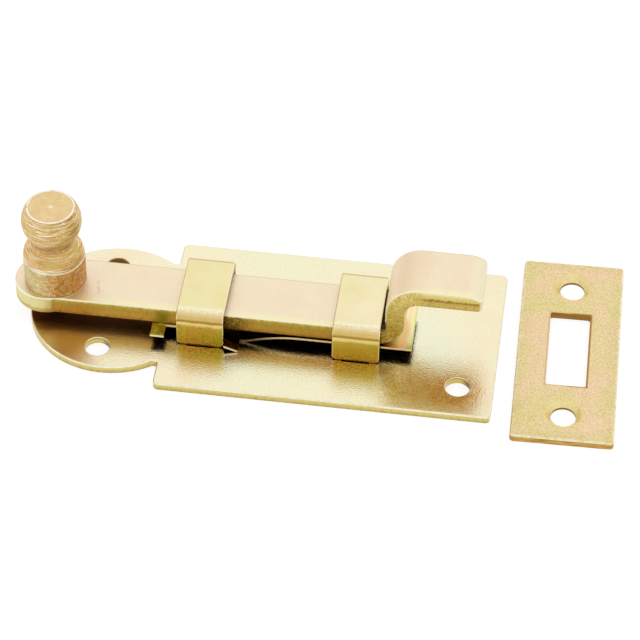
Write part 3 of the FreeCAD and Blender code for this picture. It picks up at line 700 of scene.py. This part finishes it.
def striker_colour(tree):
    place = millimetres(tree)
    straight_x, straight_y = parts_of(tree, millimetres(tree, turn=(0, 0, -striker_turn)))[:2]
    off_x = absolute(tree, work_out(tree, "SUBTRACT", straight_x, striker_middle.x))
    off_y = absolute(tree, work_out(tree, "SUBTRACT", straight_y, striker_middle.y))
    outline = largest(tree, work_out(tree, "SUBTRACT", off_x, striker_half_width),
                      work_out(tree, "SUBTRACT", off_y, striker_half_length))
    round_holes = largest(tree, near_to(tree, screw_hole("striker_screws", 1, striker_turn), 3.0, 5.2),
                          near_to(tree, screw_hole("striker_screws", -1, striker_turn), 3.0, 5.2))
    round_slot = product(tree, between(tree, off_x, slot_half_width + 1.4, slot_half_width + 0.9),
                         between(tree, off_y, slot_half_length + 1.0, slot_half_length + 0.6))
    grain = noise(tree, place, 2.6, 3.0, 0.7)
    wear_and_sheen = clouds(tree, place, 1.6, 0.35, 0.55)

    pink = clouds(tree, place, 0.1, 0.42, 0.58)
    top = tint(tree, pink, (232, 212, 158), (240, 210, 170))
    green = clouds(tree, millimetres(tree, turn=(0, 0, 0.7)), 0.12, 0.5, 0.64)
    top = tint(tree, green, top, (228, 212, 146))
    border = product(tree, between(tree, outline, -3.0, -0.8), clouds(tree, place, 0.25, 0.3, 0.6), 0.6)
    top = tint(tree, border, top, (218, 202, 134))
    top = tint(tree, product(tree, round_holes, 0.8), top, (232, 212, 140))
    top = tint(tree, between(tree, grain, 0.5, 0.7, 0.0, 0.6), top, (252, 242, 210))
    top = tint(tree, between(tree, grain, 0.5, 0.3, 0.0, 0.6), top, (206, 168, 106))
    # The pale line just inside the outline is rubbed plating and a painted highlight.
    wear_and_sheen_line = product(tree, between(tree, outline, -0.55, -0.3), clouds(tree, place, 0.8, 0.35, 0.6), 0.6)
    top = tint(tree, wear_and_sheen_line, top, (246, 240, 214))
    # Painted shade: a brown line along the slot's rim, stronger on its right side.
    slot_rim_shade = product(tree, between(tree, off_x, slot_half_width + 0.45, slot_half_width + 0.25),
                        between(tree, off_y, slot_half_length + 0.4, slot_half_length + 0.1),
                        between(tree, straight_x, striker_middle.x - 0.2, striker_middle.x + 0.8, 0.3, 0.9))
    top = tint(tree, slot_rim_shade, top, (176, 116, 50))

    # On the roundings the pale near colour is rubbed plating and a painted highlight, and the darker far
    # colour is painted shade.
    near = tint(tree, wear_and_sheen, (232, 212, 160), (252, 248, 234))
    far = tint(tree, wear_and_sheen, (196, 156, 90), (232, 224, 196))
    layers = clouds(tree, millimetres(tree, stretch=(0.25, 0.25, 2)), 1.2, 0.35, 0.65)
    wall = tint(tree, layers, (178, 130, 54), (216, 178, 100))
    # Painted shade darkens the walls of the slot and the screw holes.
    inside = product(tree, largest(tree, round_slot, round_holes), 0.7)
    wall = tint(tree, inside, wall, (130, 86, 28))
    colour = edged(tree, top, near, far, wall)
    countersink = within(tree, absolute(tree, facing(tree, "Z")), 0.5, 0.65, 0.75, 0.85)
    cone = tint(tree, between(tree, grain, 0.3, 0.7), (236, 212, 140), (252, 240, 186))
    return tint(tree, countersink, colour, cone)


def striker_roughness(tree):
    return smeared(tree, (1, 1, 1), 0.6, 0.4, 0.5)


coat("striker_plate", metal("matt_yellow_zinc", striker_colour, striker_roughness, sheet_relief, 0.04))


# Floor and light
# A plain white table top in an evenly lit white tent, with one large soft light behind and above
# the bolt, which its top faces mirror.
floor_size = 8.0
floor_height = -0.00002
bpy.ops.object.select_all(action="DESELECT")
bpy.ops.mesh.primitive_plane_add(size=floor_size, location=(0, 0, floor_height))
floor = bpy.context.object
floor.name = "floor"
floor_material = bpy.data.materials.new("white_table")
floor_material.use_nodes = True
tree = floor_material.node_tree
tree.nodes.clear()
rays = add_node(tree, "ShaderNodeLightPath").outputs
seen = largest(tree, rays["Is Camera Ray"], rays["Is Glossy Ray"], rays["Is Transmission Ray"])
lit = add_node(tree, "ShaderNodeBsdfDiffuse", {"Color": (0.8, 0.8, 0.8, 1.0)})
faintly_lit = add_node(tree, "ShaderNodeBsdfDiffuse", {"Color": (0.3, 0.3, 0.3, 1.0)})
white = add_node(tree, "ShaderNodeEmission", {"Color": (1.0, 1.0, 1.0, 1.0), "Strength": 0.8})
shown = add_node(tree, "ShaderNodeAddShader", {0: white.outputs[0], 1: faintly_lit.outputs[0]})
surface = add_node(tree, "ShaderNodeMixShader", {0: seen, 1: lit.outputs[0], 2: shown.outputs[0]})
add_node(tree, "ShaderNodeOutputMaterial", {"Surface": surface.outputs[0]})
floor.data.materials.append(floor_material)

lamp_place = Vector((-0.1, 1.0, 1.04))
lamp_width = 1.8
lamp_depth = 1.1
lamp_power = 0.7
lamp_data = bpy.data.lights.new("rear_light", "AREA")
lamp_data.shape = "RECTANGLE"
lamp_data.size = lamp_width
lamp_data.size_y = lamp_depth
lamp_data.energy = lamp_power
lamp = bpy.data.objects.new("rear_light", lamp_data)
lamp.location = lamp_place
lamp.rotation_euler = (-lamp_place).to_track_quat("-Z", "Y").to_euler()
scene.collection.objects.link(lamp)

tent_brightness = 0.93
world = bpy.data.worlds.new("world")
scene.world = world
world.use_nodes = True
tent = world.node_tree.nodes["Background"].inputs
tent["Color"].default_value = (1.0, 1.0, 1.0, 1.0)
tent["Strength"].default_value = tent_brightness

scene.view_settings.view_transform = "Standard"
